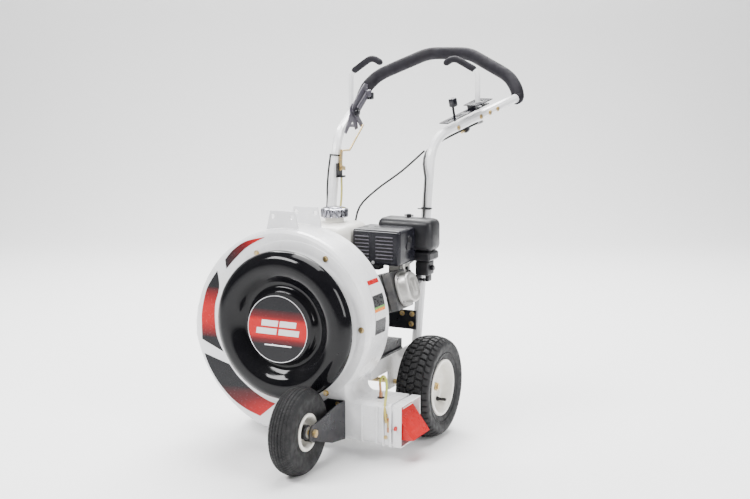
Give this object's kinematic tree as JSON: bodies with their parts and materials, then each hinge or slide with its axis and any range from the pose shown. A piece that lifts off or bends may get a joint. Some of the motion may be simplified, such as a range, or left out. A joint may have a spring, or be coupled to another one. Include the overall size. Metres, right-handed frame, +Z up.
{
  "type": "walk behind leaf blower",
  "caption": "Walk behind leaf blower on wheels: scroll fan housing with a black inlet dish, petrol engine, side outlet with a tilting flap, and a padded push handle.",
  "frame": {"origin": "middle of the machine's box, on the ground under it", "axes": "+Z up, -Y the way the machine drives, +X its left side, where the outlet is"},
  "size_m": [0.7568, 1.4624, 1.221],
  "materials": {
    "white_paint": "smooth gloss powder coat",
    "gloss_black": "high gloss",
    "black_paint": "satin powder coat",
    "tyre_rubber": "matte rubber",
    "black_plastic": "fine moulded grain",
    "soft_black": "matte",
    "foam_grip": "matte foam sleeve",
    "yellow_zinc": "yellow zinc plate",
    "bare_steel": "plain steel",
    "cast_aluminium": "as cast",
    "chrome": "polished",
    "red_paint": "gloss",
    "red_plastic": "satin",
    "cable_black": "semi gloss jacket",
    "cable_yellow": "zinc coated conduit"
  },
  "bodies": {
    "machine": {"air_cleaner_base": "black_plastic", "air_cleaner_cover": "black_plastic", "arch_grip": "foam_grip", "cable_anchor": "black_paint", "carburetor": "cast_aluminium", "crankcase": "cast_aluminium", "cylinder_block": "cast_aluminium", "deflector_box": "white_paint", "deflector_bracket": "black_paint", "deflector_cable": "cable_yellow", "deflector_cable_loop": "cable_yellow", "engine_deck": "black_paint", "fan_cowl": "black_plastic", "fan_housing_back": "white_paint", "fan_housing_front": "white_paint", "fan_housing_scroll": "white_paint", "frame_rail_left": "white_paint", "frame_rail_right": "white_paint", "front_axle": "yellow_zinc", "front_fork": "black_paint", "fuel_tank": "white_paint", "handle_left": "white_paint", "handle_right": "white_paint", "horn_grip_left": "foam_grip", "horn_grip_right": "foam_grip", "ignition_cable": "cable_black", "inlet_dish": "gloss_black", "inlet_guard": "black_paint", "inlet_ring": "white_paint", "lift_tab_front": "white_paint", "lift_tab_rear": "white_paint", "muffler": "bare_steel", "muffler_guard": "black_paint", "rear_axle": "yellow_zinc", "rear_cross_plate": "black_paint", "recoil_starter": "black_plastic", "spark_plug_cap": "soft_black", "stop_cable": "cable_black", "throttle_cable": "cable_black", "throttle_plate": "black_paint", "valve_cover": "cast_aluminium"},
    "fan": {"impeller": "bare_steel", "crankshaft": "bare_steel"},
    "flap": {"deflector_flap": "red_paint"},
    "front_wheel": {"front_tyre": "tyre_rubber", "front_rim": "white_paint"},
    "rear_left_wheel": {"rear_left_tyre": "tyre_rubber", "rear_left_rim": "white_paint"},
    "rear_right_wheel": {"rear_right_tyre": "tyre_rubber", "rear_right_rim": "white_paint"},
    "throttle": {"throttle_lever": "black_paint"},
    "deflector_control": {"deflector_lever": "white_paint"},
    "control_rod": {"deflector_rod": "yellow_zinc"},
    "bell_crank": {"bell_crank": "yellow_zinc"},
    "fuel_cap": {"fuel_cap": "chrome"},
    "oil_cap": {"oil_cap": "black_plastic"},
    "recoil": {"recoil_handle": "soft_black"},
    "choke": {"choke_lever": "black_plastic"},
    "fuel_tap": {"fuel_tap_lever": "black_plastic"},
    "engine_switch": {"engine_switch": "red_plastic"}
  },
  "joints": [
    {"name": "fan_spin", "type": "hinge", "parent": "machine", "child": "fan", "pos_m": [-0.02264, -0.26119, 0.397], "axis": [0, 1, 0], "continuous": true},
    {"name": "front_wheel_spin", "type": "hinge", "parent": "machine", "child": "front_wheel", "pos_m": [0.10836, -0.60119, 0.13], "axis": [1, 0, 0], "continuous": true},
    {"name": "rear_left_wheel_spin", "type": "hinge", "parent": "machine", "child": "rear_left_wheel", "pos_m": [0.30036, -0.09119, 0.161], "axis": [1, 0, 0], "continuous": true},
    {"name": "rear_right_wheel_spin", "type": "hinge", "parent": "machine", "child": "rear_right_wheel", "pos_m": [-0.25164, -0.09119, 0.161], "axis": [1, 0, 0], "continuous": true},
    {"name": "deflector_lever_swing", "type": "hinge", "parent": "machine", "child": "deflector_control", "pos_m": [-0.13044, 0.22781, 1.00874], "axis": [1, 0, 0], "range_deg": [-16, 5]},
    {"name": "control_rod_pivot", "type": "hinge", "parent": "deflector_control", "child": "control_rod", "pos_m": [-0.12534, 0.28881, 0.95274], "axis": [1, 0, 0], "range_deg": [-3.5, 11]},
    {"name": "bell_crank_pivot", "type": "hinge", "parent": "machine", "child": "bell_crank", "pos_m": [-0.12674, 0.12898, 0.818], "axis": [1, 0, 0], "range_deg": [-9.5, 27]},
    {"name": "flap_tilt", "type": "hinge", "parent": "machine", "child": "flap", "pos_m": [0.32636, -0.33119, 0.113], "axis": [0, 1, 0], "range_deg": [-40, 12.5]},
    {"name": "throttle_swing", "type": "hinge", "parent": "machine", "child": "throttle", "pos_m": [0.2334, 0.26275, 0.982], "axis": [0.9624, -0.2716, 0], "range_deg": [-32, 32]},
    {"name": "fuel_cap_turn", "type": "hinge", "parent": "machine", "child": "fuel_cap", "pos_m": [-0.03164, -0.10119, 0.6844], "axis": [0, 0, 1], "range_deg": [0, 90]},
    {"name": "oil_cap_turn", "type": "hinge", "parent": "machine", "child": "oil_cap", "pos_m": [0.06276, -0.20119, 0.335], "axis": [1, 0, 0], "range_deg": [0, 90]},
    {"name": "choke_swing", "type": "hinge", "parent": "machine", "child": "choke", "pos_m": [0.18276, -0.01619, 0.52], "axis": [1, 0, 0], "range_deg": [-42, 0]},
    {"name": "fuel_tap_swing", "type": "hinge", "parent": "machine", "child": "fuel_tap", "pos_m": [0.18276, 0.00681, 0.505], "axis": [1, 0, 0], "range_deg": [0, 80]},
    {"name": "engine_switch_turn", "type": "hinge", "parent": "machine", "child": "engine_switch", "pos_m": [-0.11804, -0.08119, 0.44], "axis": [1, 0, 0], "range_deg": [0, 45]},
    {"name": "recoil_pull", "type": "slide", "parent": "machine", "child": "recoil", "axis": [-1, 0, 0], "range_m": [0, 0.07], "stiffness_N_per_m": 15}
  ],
  "couplings": [
    {"joint": "flap_tilt", "follows": "deflector_lever_swing", "ratio": 2.4},
    {"joint": "control_rod_pivot", "follows": "deflector_lever_swing", "ratio": -0.6},
    {"joint": "bell_crank_pivot", "follows": "deflector_lever_swing", "ratio": -1.55}
  ]
}
